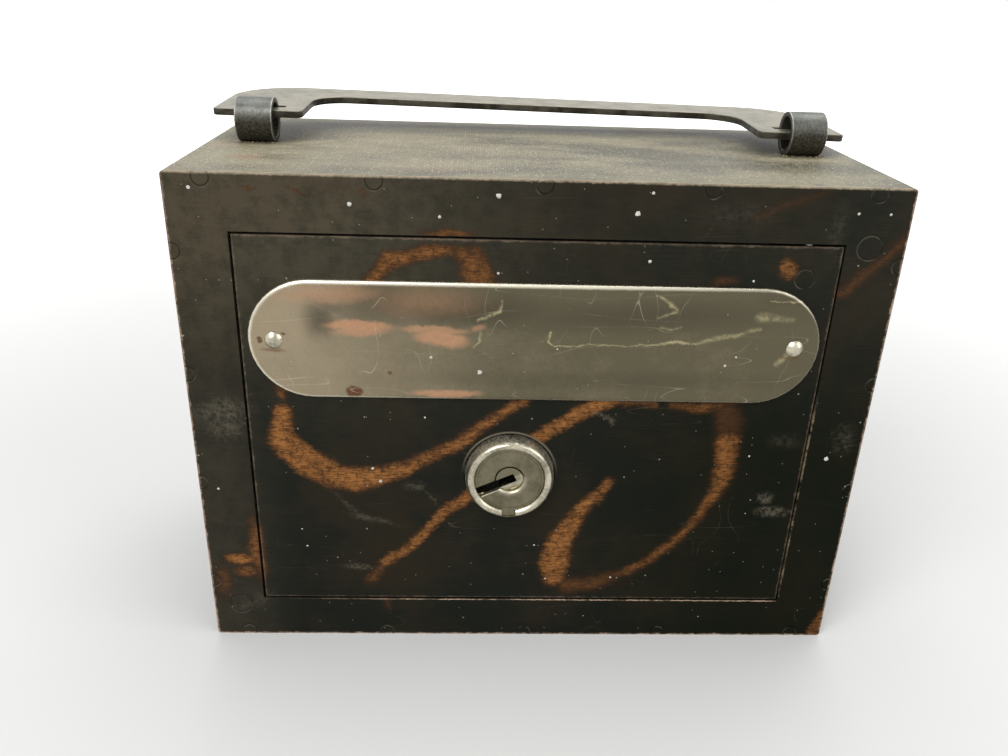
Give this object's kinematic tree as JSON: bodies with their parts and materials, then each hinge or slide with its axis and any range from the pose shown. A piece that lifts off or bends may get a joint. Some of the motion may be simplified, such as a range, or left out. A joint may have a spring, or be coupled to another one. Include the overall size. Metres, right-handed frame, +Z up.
{
  "type": "lockbox",
  "caption": "Small blackened steel strongbox with a flush pivoted door, bare nickel nameplate, lever lock in a round nose, sliding dead bolt, rear coin slot and a bail handle on rolled loops.",
  "frame": {"origin": "centre of the case's underside, on the surface it rests on", "axes": "+Z up, +X to the right seen from the front, +Y to the back; the door and the lock face -Y"},
  "size_m": [0.127, 0.0636, 0.104],
  "materials": {
    "casing_steel": "blackened bronze plating over steel, satin, worn to copper at the edges",
    "door_steel": "blackened bronze plating with hand-wiped copper swirls, satin",
    "plate_nickel": "aged nickel plating, semi-polished, copper showing where worn",
    "lock_nickel": "nickel plating, bright on the lip, brushed on the face",
    "handle_steel": "dark steel, satin, scuffed",
    "loop_steel": "bare rolled steel, worn bright, rusty at the base",
    "pin_steel": "blackened steel, ground flush",
    "inner_steel": "bare steel, brushed",
    "screw_steel": "bare turned steel",
    "spring_steel": "tempered spring steel",
    "lever_brass": "stamped brass"
  },
  "bodies": {
    "case": {"wall_wrap": "casing_steel", "front_frame": "casing_steel", "back_plate": "casing_steel", "front_seam_pins": "pin_steel", "back_seam_pins": "pin_steel", "corner_pillars": "pin_steel", "stop_frame": "inner_steel", "coin_guard": "inner_steel", "coin_guard_rivets": "pin_steel", "handle_loop_left": "loop_steel", "handle_loop_right": "loop_steel", "pivot_pin_upper": "pin_steel", "pivot_pin_lower": "pin_steel"},
    "handle": {"handle_bail": "handle_steel"},
    "door": {"door_panel": "door_steel", "door_rivets": "pin_steel", "nameplate": "plate_nickel", "nameplate_rivets": "plate_nickel", "lock_nose": "lock_nickel", "face_disc": "lock_nickel", "lock_case": "inner_steel", "lock_cover": "inner_steel", "case_screws": "screw_steel", "cover_screws": "screw_steel", "lever_post": "inner_steel", "lever_springs": "spring_steel", "bolt_guide": "inner_steel", "guide_screws": "screw_steel"},
    "bolt": {"bolt": "inner_steel", "bolt_stump": "inner_steel"},
    "barrel": {"key_barrel": "lock_nickel"},
    "lever_one": {"lever_1": "lever_brass"},
    "lever_two": {"lever_2": "lever_brass"},
    "lever_three": {"lever_3": "lever_brass"}
  },
  "joints": [
    {"name": "door_swing", "type": "hinge", "parent": "case", "child": "door", "pos_m": [0.04665, -0.02915, 0.0474], "axis": [0, 0, 1], "range_deg": [0, 143]},
    {"name": "handle_swing", "type": "hinge", "parent": "case", "child": "handle", "pos_m": [0, -0.00055, 0.09985], "axis": [1, 0, 0], "range_deg": [-7.5, 182]},
    {"name": "barrel_turn", "type": "hinge", "parent": "door", "child": "barrel", "pos_m": [-0.00415, -0.0262, 0.039], "axis": [0, -1, 0], "range_deg": [0, 360]},
    {"name": "bolt_throw", "type": "slide", "parent": "door", "child": "bolt", "axis": [-1, 0, 0], "range_m": [0, 0.007]},
    {"name": "lever_lift_one", "type": "hinge", "parent": "door", "child": "lever_one", "pos_m": [0.00885, -0.0239, 0.0467], "axis": [0, 1, 0], "range_deg": [0, 6]},
    {"name": "lever_lift_two", "type": "hinge", "parent": "door", "child": "lever_two", "pos_m": [0.00885, -0.02275, 0.0467], "axis": [0, 1, 0], "range_deg": [0, 7.5]},
    {"name": "lever_lift_three", "type": "hinge", "parent": "door", "child": "lever_three", "pos_m": [0.00885, -0.0216, 0.0467], "axis": [0, 1, 0], "range_deg": [0, 9], "deforming": ["lever_springs"]}
  ],
  "couplings": [
    {"joint": "barrel_turn", "follows": "bolt_throw", "rad_per_m": 897.59},
    {"joint": "lever_lift_one", "follows": "bolt_throw", "rad_per_m": 14.959},
    {"joint": "lever_lift_two", "follows": "bolt_throw", "rad_per_m": 18.699},
    {"joint": "lever_lift_three", "follows": "bolt_throw", "rad_per_m": 22.439}
  ]
}
